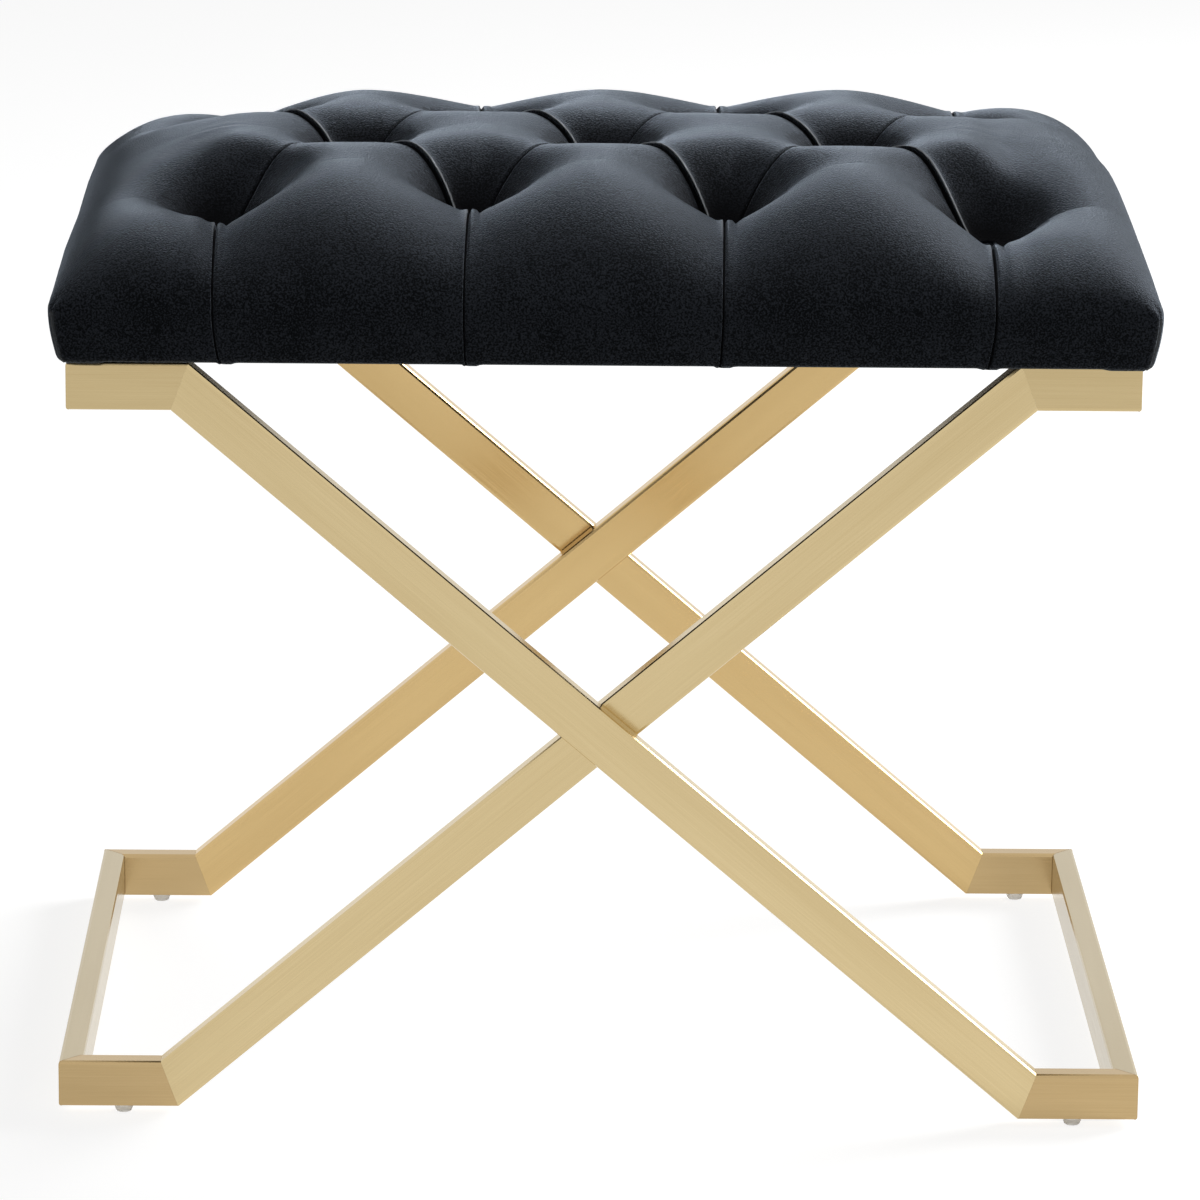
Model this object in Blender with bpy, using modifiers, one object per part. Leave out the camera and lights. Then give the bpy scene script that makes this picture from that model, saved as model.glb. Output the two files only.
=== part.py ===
"""Upholstered bench: a deep-tufted velvet seat on two nested loops of brushed gold tube that cross as an X.

Metres, +Z up. The origin is on the floor under the middle of the bench and the front faces -Y.
The outer loop has its top at -X and its foot at +X, and the inner loop the other way round.
"""

import math

import bmesh
import bpy
from mathutils import Matrix, Vector

# Driving dimensions of the frame
TUBE_FACE = 0.0254  # height of the tube, the side that shows from the front
TUBE_EDGE = 0.0130  # thickness of the tube
TUBE_WALL = 0.0012
TUBE_CORNER = 0.0018  # radius along the outer arrises
FRAME_TOP = 0.4151  # floor to the top of the loops
TOP_SPAN = 0.5612  # over the two top rails
FOOT_SPAN = 0.5780  # over the two foot rails
LOOP_DEPTH = 0.4262  # front to back over the outer loop
TOP_ARM = 0.0543  # underside of a top arm, from its outer end to the mitre
FOOT_ARM = 0.0548  # upper side of a foot arm, from its outer end to the mitre

# Driving dimensions of the glides
GLIDE_HEIGHT = 0.0040
GLIDE_TOP_DIAMETER = 0.0107
GLIDE_FOOT_DIAMETER = 0.0080
GLIDE_STEM_DIAMETER = 0.0060
GLIDE_STEM = 0.0060  # length of the stem inside the tube
GLIDE_INSET = 0.0345  # outer end of the foot arm to the glide's middle

# Driving dimensions of the seat
OVERHANG = 0.0045  # seat's bottom edge past the frame
SEAT_BULGE = 0.0045  # swell of the sides past the bottom edge
EDGE_HEIGHT = 0.0290  # bottom edge to the fullest line of the sides
CROWN = 0.0600  # fullest line of the sides to the tops of the pillows
END_SHOULDER = 0.0540  # width of the rounding from side to top, at the ends
LONG_SHOULDER = 0.1300  # the same along the front and the back
CORNER_SHOULDER = 0.2000  # the same along the front and the back, past the end tufts
CORNER_DIP = 0.0090  # how much lower the corners stand
CORNER_EASE = 0.0300  # width over which the corners take over past the end tufts
SEAT_CORNER = 0.0180  # radius of the upright corners
TUFT_SIDE_MARGIN = 0.0830  # seat's end to the end tufts
TUFT_FRONT_MARGIN = 0.1180  # seat's front to the front tufts
TUFT_DEPTH = 0.0460
TUFT_FLAT = 0.0060  # radius of a tuft's flat bottom
TUFT_REACH = 0.0145  # distance in which a tuft's depth fades
PLEAT_DEPTH = 0.0035  # of a pleat between tufts or to an end
PLEAT_WIDTH = 0.0250  # from such a pleat to the top of its valley
EDGE_PLEAT_DEPTH = 0.0190  # of a pleat to the front or the back
EDGE_PLEAT_WIDTH = 0.0580
PLEAT_RADIUS = 0.0180  # distance in which a pleat's pull on the side fades
VALLEY_POWER = 1.6  # 1 for straight flanks, more for hollow ones
PLEAT_DRAW = 0.0030  # how far a pleat draws in the side it runs down
COVER_THICKNESS = 0.0015
FOAM_EASE = 0.0008  # foam trimmed back from the sides, which the pleats twist
HEM = 0.0380  # cover turned under the board
BOARD_THICKNESS = 0.0120
DUST_COVER_THICKNESS = 0.0005
DUST_COVER_MARGIN = 0.0020  # between the dust cover and the tubes round it

# Driving dimensions of the tuft ties and the seat screws
BUTTON_DIAMETER = 0.0150
BUTTON_HEIGHT = 0.0050
BUTTON_DOME_DIAMETER = 0.0090
BUTTON_DOME_DROP = 0.0008  # button's middle down to the edge of its dome
BUTTON_RIM = 0.0020  # height of the button's straight rim
TWINE_DIAMETER = 0.0024
TOGGLE_DIAMETER = 0.0100
SCREW_DIAMETER = 0.0042
SCREW_HEAD_DIAMETER = 0.0095
SCREW_HEAD_HEIGHT = 0.0030
SCREW_HEAD_FLAT = 0.0048  # diameter of the flat on the head
SCREW_HEAD_RIM = 0.0015  # height of the head's straight rim
SCREW_TIP = 0.0021  # length of the tip's taper, and its diameter at the end
SCREW_BITE = 0.0090  # thread in the board
SCREW_END_MARGIN = 0.0850  # end of the top rail to a screw

# Clearance between touching pieces, and the distance at which turned points become one
GAP = 0.0003
MERGE_DISTANCE = 0.00001

# Facets and grid cells
TUBE_CORNER_FACETS = 2
BOARD_CORNER_FACETS = 4
GLIDE_FACETS = 16
TIE_FACETS = 8
SCREW_FACETS = 12
HOLE_FACETS = 8
TIE_HOLE_FACETS = 4
CELLS_BETWEEN_TUFTS = 6
ROW_CELLS_BETWEEN_TUFTS = 4
END_CELLS = 3
FRONT_CELLS = 3

# Finishes: colour, roughness, metallic
GOLD = ((0.62, 0.48, 0.26), 0.32, 1.0)
NYLON = ((0.72, 0.72, 0.68), 0.45, 0.0)
VELVET = ((0.012, 0.014, 0.019), 0.85, 0.0)
FOAM = ((0.80, 0.76, 0.62), 0.95, 0.0)
PLYWOOD = ((0.55, 0.40, 0.24), 0.70, 0.0)
CAMBRIC = ((0.02, 0.02, 0.02), 0.90, 0.0)
STEEL = ((0.55, 0.55, 0.55), 0.35, 1.0)

for old in list(bpy.data.objects):
    bpy.data.objects.remove(old)
parts = bpy.data.collections.new("upholstered_bench")
cutters = bpy.data.collections.new("cutters")
bpy.context.scene.collection.children.link(parts)
bpy.context.scene.collection.children.link(cutters)


def new_mesh(name, shape):
    """The shape's faces as a mesh of this name."""
    mesh = bpy.data.meshes.new(name)
    shape.to_mesh(mesh)
    shape.free()
    return mesh


def add_part(name, shape, finish, matrix):
    """One piece of the bench, with its own material."""
    mesh = new_mesh(name, shape)
    piece = bpy.data.objects.new(name, mesh)
    piece.matrix_world = matrix
    parts.objects.link(piece)
    colour, roughness, metallic = finish
    surface = bpy.data.materials.new(name)
    surface.use_nodes = True
    shader = surface.node_tree.nodes["Principled BSDF"]
    shader.inputs["Base Color"].default_value = (*colour, 1.0)
    shader.inputs["Roughness"].default_value = roughness
    shader.inputs["Metallic"].default_value = metallic
    mesh.materials.append(surface)
    return piece


def add_cutter(name, shape, matrix):
    """A shape that is only cut from others."""
    cutter = bpy.data.objects.new(name, new_mesh(name, shape))
    cutter.matrix_world = matrix
    cutter.hide_render = True
    cutter.display_type = "WIRE"
    cutters.objects.link(cutter)
    return cutter


def cut(piece, cutter):
    """The cutter's shape taken out of the piece."""
    hole = piece.modifiers.new(cutter.name, "BOOLEAN")
    hole.operation = "DIFFERENCE"
    hole.object = cutter


def box(length, width, height):
    """A box centred on its origin."""
    shape = bmesh.new()
    bmesh.ops.create_cube(shape, size=1)
    bmesh.ops.scale(shape, vec=(length, width, height), verts=shape.verts)
    return shape


def rods(places, diameter, facets, low, high):
    """Upright rods at these places in plan, as wide across their flats as the diameter."""
    shape = bmesh.new()
    radius = diameter / 2 / math.cos(math.pi / facets)
    for place in places:
        bmesh.ops.create_cone(
            shape,
            cap_ends=True,
            segments=facets,
            radius1=radius,
            radius2=radius,
            depth=high - low,
            matrix=Matrix.Translation((place.x, place.y, (low + high) / 2)),
        )
    return shape


def turned(name, profile, facets, finish, place):
    """A piece turned about its upright axis, from a profile of radius and height that runs downwards."""
    shape = bmesh.new()
    corners = [shape.verts.new((radius, 0, height)) for radius, height in profile]
    for upper, lower in zip(corners, corners[1:]):
        shape.edges.new((upper, lower))
    piece = add_part(name, shape, finish, Matrix.Translation(place))
    lathe = piece.modifiers.new("turn", "SCREW")
    lathe.axis = "Z"
    lathe.steps = facets
    lathe.render_steps = facets
    lathe.use_merge_vertices = True
    lathe.merge_threshold = MERGE_DISTANCE
    lathe.use_smooth_shade = True
    return piece


# The slope of the legs, from half its tangent: a leg keeps the tube's width through both mitres
top_middle = FRAME_TOP - TUBE_FACE / 2
foot_middle = GLIDE_HEIGHT + TUBE_FACE / 2
drop = top_middle - foot_middle
run = TOP_SPAN / 2 - TOP_ARM + FOOT_SPAN / 2 - FOOT_ARM
spare = drop - 2 * TUBE_FACE
half_slope = (math.sqrt(run * run + drop * spare) - run) / spare
mitre_reach = TUBE_FACE / 2 * half_slope
top_mitre = TOP_SPAN / 2 - TOP_ARM - mitre_reach
foot_mitre = FOOT_SPAN / 2 - FOOT_ARM - mitre_reach
top_corner = TOP_SPAN / 2 - TUBE_EDGE / 2
foot_corner = FOOT_SPAN / 2 - TUBE_EDGE / 2


def add_tube(name, start, end, before, after):
    """A length of tube between two corners of its loop, mitred to the lengths before and after it."""
    along = (end - start).normalized()
    across = Vector((1, 0, 0)) if abs(along.y) > abs(along.x) else Vector((0, 1, 0))
    upward = along.cross(across)
    middle = (start + end) / 2
    matrix = Matrix((along, across, upward)).transposed().to_4x4()
    matrix.translation = middle
    to_local = matrix.inverted()
    length = (end - start).length
    shape = box(length, TUBE_EDGE, TUBE_FACE)
    arrises = [edge for edge in shape.edges if edge.verts[0].co.x * edge.verts[1].co.x < 0]
    bmesh.ops.bevel(
        shape,
        geom=arrises,
        offset=TUBE_CORNER,
        offset_type="OFFSET",
        segments=TUBE_CORNER_FACETS,
        profile=0.5,
        affect="EDGES",
    )
    for corner, inward, neighbour in ((start, along, before), (end, -along, after)):
        cut_normal = to_local.to_3x3() @ (inward - (neighbour - corner).normalized()).normalized()
        corner_local = to_local @ corner
        for vert in shape.verts:
            if vert.co.x * corner_local.x > 0:
                aside = Vector((corner_local.x, vert.co.y, vert.co.z)) - corner_local
                vert.co.x = corner_local.x + (GAP / 2 - aside.dot(cut_normal)) / cut_normal.x
    piece = add_part(name, shape, GOLD, matrix)
    bore = box(2 * length, TUBE_EDGE - 2 * TUBE_WALL, TUBE_FACE - 2 * TUBE_WALL)
    cut(piece, add_cutter(name + "_bore", bore, matrix))
    return piece


def add_loop(loop, side, half_depth):
    """A closed loop: the top at one side, the foot at the other, a sloping leg at the front and at the back."""
    front = [
        Vector((side * top_corner, -half_depth, top_middle)),
        Vector((side * top_mitre, -half_depth, top_middle)),
        Vector((-side * foot_mitre, -half_depth, foot_middle)),
        Vector((-side * foot_corner, -half_depth, foot_middle)),
    ]
    back = [Vector((corner.x, half_depth, corner.z)) for corner in reversed(front)]
    corners = front + back
    names = (
        "front_top_arm",
        "front_leg",
        "front_foot_arm",
        "foot_rail",
        "back_foot_arm",
        "back_leg",
        "back_top_arm",
        "top_rail",
    )
    count = len(corners)
    return {
        name: add_tube(
            f"{loop}_{name}",
            corners[k],
            corners[(k + 1) % count],
            corners[k - 1],
            corners[(k + 2) % count],
        )
        for k, name in enumerate(names)
    }


# The frame: the inner loop stands inside the outer one, and their legs meet face to face where they cross
outer_middle = LOOP_DEPTH / 2 - TUBE_EDGE / 2
inner_middle = outer_middle - TUBE_EDGE - GAP
outer_loop = add_loop("outer", -1, outer_middle)
inner_loop = add_loop("inner", 1, inner_middle)

# Glides: nylon plugs pressed into the undersides of the foot arms
glide_place = FOOT_SPAN / 2 - GLIDE_INSET
glide_profile = (
    (0, GLIDE_HEIGHT + GLIDE_STEM),
    (GLIDE_STEM_DIAMETER / 2, GLIDE_HEIGHT + GLIDE_STEM),
    (GLIDE_STEM_DIAMETER / 2, GLIDE_HEIGHT - GAP),
    (GLIDE_TOP_DIAMETER / 2, GLIDE_HEIGHT - GAP),
    (GLIDE_FOOT_DIAMETER / 2, 0),
    (0, 0),
)
for loop, tubes, side, half_depth in (
    ("outer", outer_loop, 1, outer_middle),
    ("inner", inner_loop, -1, inner_middle),
):
    for end, sign in (("front", -1), ("back", 1)):
        place = Vector((side * glide_place, sign * half_depth, 0))
        turned(f"{loop}_{end}_glide", glide_profile, GLIDE_FACETS, NYLON, place)
        hole = rods([place], GLIDE_STEM_DIAMETER + 2 * GAP, HOLE_FACETS, 0, foot_middle)
        cut(tubes[f"{end}_foot_arm"], add_cutter(f"{loop}_{end}_glide_hole", hole, Matrix()))

# The seat's levels and its outline at the bottom edge and at the fullest line of its sides
seat_bottom = FRAME_TOP + GAP
board_bottom = seat_bottom + COVER_THICKNESS + GAP
board_top = board_bottom + BOARD_THICKNESS
edge_level = seat_bottom + EDGE_HEIGHT
half_width = TOP_SPAN / 2 + OVERHANG
half_depth = LOOP_DEPTH / 2 + OVERHANG
full_width = half_width + SEAT_BULGE
full_depth = half_depth + SEAT_BULGE

# Tufts in three rows of four, three and four, and the pleats between them and out to the sides
end_tuft = half_width - TUFT_SIDE_MARGIN
front_tuft = half_depth - TUFT_FRONT_MARGIN
column_pitch = 2 * end_tuft / 3
outer_columns = [column_pitch * (k - 1.5) for k in range(4)]
middle_columns = [column_pitch * (k - 1) for k in range(3)]
middle_tufts = [Vector((x, 0)) for x in middle_columns]
outer_tufts = [Vector((x, y)) for y in (-front_tuft, front_tuft) for x in outer_columns]
tufts = middle_tufts + outer_tufts
pleats = [
    (outer, middle, PLEAT_DEPTH, PLEAT_WIDTH)
    for outer in outer_tufts
    for middle in middle_tufts
    if abs(outer.x - middle.x) < column_pitch
]
for tuft in outer_tufts:
    long_edge = Vector((tuft.x, math.copysign(full_depth, tuft.y)))
    pleats.append((tuft, long_edge, EDGE_PLEAT_DEPTH, EDGE_PLEAT_WIDTH))
    if abs(tuft.x) > column_pitch:
        end_edge = Vector((math.copysign(full_width, tuft.x), tuft.y))
        pleats.append((tuft, end_edge, PLEAT_DEPTH, PLEAT_WIDTH))


def grid_lines(last_tuft, edge, inner_cells, outer_cells):
    """Lines from edge to edge: even between the end tufts, then closing up towards the rounded edge."""
    inner = [last_tuft * (2 * k / inner_cells - 1) for k in range(inner_cells + 1)]
    rim = [
        last_tuft + (edge - last_tuft) * math.sin(math.pi / 2 * k / outer_cells)
        for k in range(1, outer_cells + 1)
    ]
    return [-line for line in reversed(rim)] + inner + rim


columns = grid_lines(end_tuft, full_width, 3 * CELLS_BETWEEN_TUFTS, END_CELLS)
rows = grid_lines(front_tuft, full_depth, 2 * ROW_CELLS_BETWEEN_TUFTS, FRONT_CELLS)


def pleat_distance(point, start, end):
    """Distance in plan from a point to a pleat."""
    reach = end - start
    share = (point - start).dot(reach) / reach.length_squared
    return (point - start - reach * min(1, max(0, share))).length


def shoulder(inside, width):
    """The quarter-round rise from the seat's edge: 0 at the edge and 1 from the shoulder inwards."""
    outside = min(1, max(0, 1 - inside / width))
    return math.sqrt(1 - outside * outside)


def nearest_pleat(point):
    """Distance in plan to the nearest pleat."""
    return min(pleat_distance(point, start, end) for start, end, depth, width in pleats)


def valley(point, start, end, depth, width):
    """Depth of a pleat's valley at a point."""
    return depth * max(0, 1 - pleat_distance(point, start, end) / width) ** VALLEY_POWER


def top_height(point):
    """Height of the seat's top: the crown, pulled down at the tufts, along the pleats and in the corners."""
    past_tufts = min(1, max(0, (abs(point.x) - end_tuft) / CORNER_EASE))
    long_shoulder = LONG_SHOULDER + (CORNER_SHOULDER - LONG_SHOULDER) * past_tufts
    rise = shoulder(full_width - abs(point.x), END_SHOULDER) * shoulder(full_depth - abs(point.y), long_shoulder)
    corner = CORNER_DIP * past_tufts * min(1, abs(point.y) / front_tuft) ** 2
    dip = max(corner, *(valley(point, *pleat) for pleat in pleats))
    from_tuft = min((point - tuft).length for tuft in tufts)
    pit = math.exp(-max(0, from_tuft - TUFT_FLAT) / TUFT_REACH)
    return edge_level + rise * (CROWN - TUFT_DEPTH * pit - dip * (1 - pit))


def outline(point, level):
    """A rim point at a level of the sides, which swell upwards and are drawn in where a pleat runs down."""
    swell = (level - seat_bottom) / EDGE_HEIGHT
    draw = PLEAT_DRAW * math.exp(-nearest_pleat(point) / PLEAT_RADIUS)
    shrink = (1 - swell) * SEAT_BULGE + swell * draw
    centre = Vector((full_width - SEAT_CORNER, full_depth - SEAT_CORNER))
    place = Vector((abs(point.x), abs(point.y)))
    if place.x > centre.x and place.y > centre.y:
        place = centre + (place - centre).normalized() * SEAT_CORNER
    across = math.copysign(place.x * (1 - shrink / full_width), point.x)
    along = math.copysign(place.y * (1 - shrink / full_depth), point.y)
    return Vector((across, along))


def inset_plan(point, inset):
    """A plan point moved in with the sides."""
    return Vector((point.x * (1 - inset / half_width), point.y * (1 - inset / half_depth)))


def sew_skin(shape, inset, ease, bottom):
    """The seat's top and sides as an open sheet, inside the finished surface by the inset and, at the
    sides, by the ease too; returns its lower rim."""
    before = set(shape.verts)
    bmesh.ops.create_grid(
        shape,
        x_segments=len(columns) - 1,
        y_segments=len(rows) - 1,
        size=1,
    )
    top = [vert for vert in shape.verts if vert not in before]
    plan = {}
    for vert in top:
        column = columns[round((vert.co.x + 1) / 2 * (len(columns) - 1))]
        row = rows[round((vert.co.y + 1) / 2 * (len(rows) - 1))]
        plan[vert] = Vector((column, row))
        at_rim = full_width - abs(column) < GAP or full_depth - abs(row) < GAP
        place = inset_plan(outline(plan[vert], edge_level), inset + ease) if at_rim else plan[vert]
        vert.co = (*place, top_height(plan[vert]) - inset)
    for face in {face for vert in top for face in vert.link_faces}:
        one, two, three, four = face.verts
        ends = (one, three) if one.co.z + three.co.z < two.co.z + four.co.z else (two, four)
        bmesh.utils.face_split(face, *ends)
    rim = [edge for vert in top for edge in vert.link_edges if edge.is_boundary]
    rim_verts = {vert: plan[vert] for edge in rim for vert in edge.verts}
    made = bmesh.ops.extrude_edge_only(shape, edges=list(set(rim)))["geom"]
    lower = [item for item in made if isinstance(item, bmesh.types.BMVert)]
    for vert in lower:
        upper = next(edge.other_vert(vert) for edge in vert.link_edges if edge.other_vert(vert) in rim_verts)
        vert.co = (*inset_plan(outline(rim_verts[upper], bottom), inset + ease), bottom)
    lower_verts = set(lower)
    return [edge for vert in lower for edge in vert.link_edges if lower_verts.issuperset(edge.verts)]


def turn_under(shape, rim, inset):
    """The sheet carried on under the board as a hem; returns the hem's inner rim."""
    made = bmesh.ops.extrude_edge_only(shape, edges=list(set(rim)))["geom"]
    hem = [item for item in made if isinstance(item, bmesh.types.BMVert)]
    for vert in hem:
        vert.co.x *= (half_width - HEM) / (half_width - inset)
        vert.co.y *= (half_depth - HEM) / (half_depth - inset)
    hem_verts = set(hem)
    return [edge for vert in hem for edge in vert.link_edges if hem_verts.issuperset(edge.verts)]


# Places of the screws that hold the seat down on the two top rails
screw_reach = LOOP_DEPTH / 2 - SCREW_END_MARGIN
screw_places = {
    f"{loop}_{end}": Vector((side * top_corner, sign * screw_reach))
    for loop, side in (("outer", -1), ("inner", 1))
    for end, sign in (("front", -1), ("back", 1))
}
screw_foot = FRAME_TOP - TUBE_FACE - GAP
screw_tip = board_bottom + SCREW_BITE
screw_bores = rods(
    screw_places.values(),
    SCREW_DIAMETER + 2 * GAP,
    HOLE_FACETS,
    screw_foot - SCREW_HEAD_HEIGHT,
    screw_tip + GAP,
)
screw_holes = add_cutter("screw_holes", screw_bores, Matrix())
tie_bores = rods(
    tufts,
    TWINE_DIAMETER + 2 * GAP,
    TIE_HOLE_FACETS,
    FRAME_TOP - TUBE_FACE,
    edge_level + CROWN,
)
tie_holes = add_cutter("tie_holes", tie_bores, Matrix())
cut(outer_loop["top_rail"], screw_holes)
cut(inner_loop["top_rail"], screw_holes)

# Seat board: plywood, bored for the twine and for the screws
board_inset = COVER_THICKNESS + GAP + FOAM_EASE
board_shape = box(2 * (half_width - board_inset), 2 * (half_depth - board_inset), BOARD_THICKNESS)
board_corners = [edge for edge in board_shape.edges if edge.verts[0].co.z * edge.verts[1].co.z < 0]
bmesh.ops.bevel(
    board_shape,
    geom=board_corners,
    offset=SEAT_CORNER,
    offset_type="OFFSET",
    segments=BOARD_CORNER_FACETS,
    profile=0.5,
    affect="EDGES",
)
board_place = Matrix.Translation((0, 0, (board_bottom + board_top) / 2))
board = add_part("seat_board", board_shape, PLYWOOD, board_place)
cut(board, tie_holes)
cut(board, screw_holes)

# Foam pad: one block on the board, drawn down by the ties
foam_shape = bmesh.new()
foam_rim = sew_skin(foam_shape, COVER_THICKNESS + GAP, FOAM_EASE, board_top + GAP)
bmesh.ops.contextual_create(foam_shape, geom=list(set(foam_rim)))
bmesh.ops.recalc_face_normals(foam_shape, faces=foam_shape.faces)
foam = add_part("foam_pad", foam_shape, FOAM, Matrix())
cut(foam, tie_holes)

# Velvet cover: drawn over the foam, pleated between the tufts and turned under the board all round
cover_shape = bmesh.new()
outer_rim = turn_under(cover_shape, sew_skin(cover_shape, 0, 0, seat_bottom), 0)
inner_skin = sew_skin(cover_shape, COVER_THICKNESS, 0, seat_bottom + COVER_THICKNESS)
inner_rim = turn_under(cover_shape, inner_skin, COVER_THICKNESS)
bmesh.ops.bridge_loops(cover_shape, edges=list(set(outer_rim)) + list(set(inner_rim)))
bmesh.ops.recalc_face_normals(cover_shape, faces=cover_shape.faces)
cover = add_part("velvet_cover", cover_shape, VELVET, Matrix())
cut(cover, tie_holes)
cut(cover, screw_holes)

# Dust cover: thin cloth over the hem and the knots, inside the tubes that carry the seat
dust_length = 2 * (TOP_SPAN / 2 - TUBE_EDGE - DUST_COVER_MARGIN)
dust_width = 2 * (inner_middle - TUBE_EDGE / 2 - DUST_COVER_MARGIN)
dust_top = seat_bottom - GAP
dust_place = Matrix.Translation((0, 0, dust_top - DUST_COVER_THICKNESS / 2))
add_part("dust_cover", box(dust_length, dust_width, DUST_COVER_THICKNESS), CAMBRIC, dust_place)

# Tuft ties: a covered button deep in each tuft, its twine through foam and board, and a toggle under the board
button_radius = BUTTON_DIAMETER / 2
tuft_level = top_height(tufts[0])
cell = Vector((columns[END_CELLS + 1] - columns[END_CELLS], rows[FRONT_CELLS + 1] - rows[FRONT_CELLS]))
slope_along = (top_height(tufts[0] + Vector((cell.x, 0))) - tuft_level) / cell.x
slope_across = (top_height(tufts[0] + Vector((0, cell.y))) - tuft_level) / cell.y
button_foot = tuft_level + button_radius * max(slope_along, slope_across) + GAP
toggle_top = board_bottom - GAP
toggle_foot = dust_top + GAP
tie_profile = (
    (0, button_foot + BUTTON_HEIGHT),
    (BUTTON_DOME_DIAMETER / 2, button_foot + BUTTON_HEIGHT - BUTTON_DOME_DROP),
    (button_radius, button_foot + BUTTON_RIM),
    (button_radius, button_foot),
    (TWINE_DIAMETER / 2, button_foot),
    (TWINE_DIAMETER / 2, toggle_top),
    (TOGGLE_DIAMETER / 2, toggle_top),
    (TOGGLE_DIAMETER / 2, toggle_foot),
    (0, toggle_foot),
)
tie_rows = (
    ("front", outer_tufts[: len(outer_columns)]),
    ("middle", middle_tufts),
    ("back", outer_tufts[len(outer_columns) :]),
)
for row, places in tie_rows:
    for number, tuft in enumerate(places, start=1):
        turned(f"tuft_tie_{row}_{number}", tie_profile, TIE_FACETS, VELVET, (tuft.x, tuft.y, 0))

# Seat screws: up through the top rails and the hem into the board
screw_profile = (
    (0, screw_tip),
    (SCREW_TIP / 2, screw_tip),
    (SCREW_DIAMETER / 2, screw_tip - SCREW_TIP),
    (SCREW_DIAMETER / 2, screw_foot),
    (SCREW_HEAD_DIAMETER / 2, screw_foot),
    (SCREW_HEAD_DIAMETER / 2, screw_foot - SCREW_HEAD_RIM),
    (SCREW_HEAD_FLAT / 2, screw_foot - SCREW_HEAD_HEIGHT),
    (0, screw_foot - SCREW_HEAD_HEIGHT),
)
for spot, place in screw_places.items():
    turned(f"{spot}_seat_screw", screw_profile, SCREW_FACETS, STEEL, (place.x, place.y, 0))
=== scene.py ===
import math

import bpy
import numpy as np
from mathutils import Matrix, Vector


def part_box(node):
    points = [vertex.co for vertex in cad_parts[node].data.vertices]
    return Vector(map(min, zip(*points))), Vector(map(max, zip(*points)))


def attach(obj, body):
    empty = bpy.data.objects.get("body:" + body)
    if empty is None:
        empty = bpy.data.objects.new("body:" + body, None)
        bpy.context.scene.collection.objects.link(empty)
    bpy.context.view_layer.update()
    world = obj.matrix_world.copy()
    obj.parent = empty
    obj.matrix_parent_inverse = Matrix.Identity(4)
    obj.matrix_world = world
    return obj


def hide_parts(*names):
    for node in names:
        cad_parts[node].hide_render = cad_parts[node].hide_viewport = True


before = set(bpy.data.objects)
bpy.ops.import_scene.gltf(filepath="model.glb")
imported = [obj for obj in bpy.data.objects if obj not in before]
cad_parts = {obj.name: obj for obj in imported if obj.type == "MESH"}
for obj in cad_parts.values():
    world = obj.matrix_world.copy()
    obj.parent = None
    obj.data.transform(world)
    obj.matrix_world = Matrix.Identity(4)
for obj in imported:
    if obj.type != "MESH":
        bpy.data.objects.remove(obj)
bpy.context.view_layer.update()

# Camera: a long lens well in front of the bench and above its seat, looking down on it.
# It is turned a little to the right, and not quite level.
CAMERA_PLACE = (-0.05255, -3.51305, 1.13527)
CAMERA_PITCH = math.radians(14.368)
CAMERA_YAW = math.radians(0.880)
CAMERA_ROLL = math.radians(0.617)
CAMERA_LENS = 195
CAMERA_SENSOR = 36
bpy.ops.object.camera_add()
camera = bpy.context.object
aim = Matrix.Rotation(-CAMERA_YAW, 4, "Z") @ Matrix.Rotation(math.pi / 2 - CAMERA_PITCH, 4, "X")
camera.matrix_world = Matrix.Translation(CAMERA_PLACE) @ aim @ Matrix.Rotation(CAMERA_ROLL, 4, "Z")
camera.data.lens = CAMERA_LENS
camera.data.sensor_width = CAMERA_SENSOR
bpy.context.scene.camera = camera
bpy.context.scene.view_settings.view_transform = "Standard"

# Studio floor: one wide pale sheet, which also fills the background.
# It is matt, so it keeps the bench's soft shadow.
FLOOR_SIZE = 40
FLOOR_GREY = (0.35, 0.35, 0.35, 1)
FLOOR_GLOW = 0.86  # what the floor adds to its own shade where it is seen
WHITE = (1, 1, 1, 1)


def new_material(name):
    """A new material with its nodes, its links and its main shader."""
    material = bpy.data.materials.new(name)
    material.use_nodes = True
    nodes = material.node_tree.nodes
    return material, nodes, material.node_tree.links, nodes["Principled BSDF"]


def seen_rays(nodes, links):
    """One for a ray from the camera, off metal or through nylon, and nought for a ray that only lights."""
    path = nodes.new("ShaderNodeLightPath")
    seen = path.outputs["Is Camera Ray"]
    for kind in ("Is Glossy Ray", "Is Transmission Ray"):
        either = nodes.new("ShaderNodeMath")
        either.operation = "MAXIMUM"
        links.new(seen, either.inputs[0])
        links.new(path.outputs[kind], either.inputs[1])
        seen = either.outputs[0]
    return seen


bpy.ops.mesh.primitive_plane_add(size=FLOOR_SIZE)
floor = bpy.context.object
floor.name = "studio_floor"
floor_paint, floor_nodes, floor_links, floor_shader = new_material("studio_floor")
floor_shader.inputs["Base Color"].default_value = FLOOR_GREY
floor_shader.inputs["Roughness"].default_value = 1
floor_shader.inputs["Specular IOR Level"].default_value = 0
floor_shader.inputs["Emission Color"].default_value = WHITE
floor_glow = floor_nodes.new("ShaderNodeMath")
floor_glow.operation = "MULTIPLY"
floor_glow.inputs[1].default_value = FLOOR_GLOW
floor_links.new(seen_rays(floor_nodes, floor_links), floor_glow.inputs[0])
floor_links.new(floor_glow.outputs[0], floor_shader.inputs["Emission Strength"])
floor.data.materials.append(floor_paint)

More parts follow.
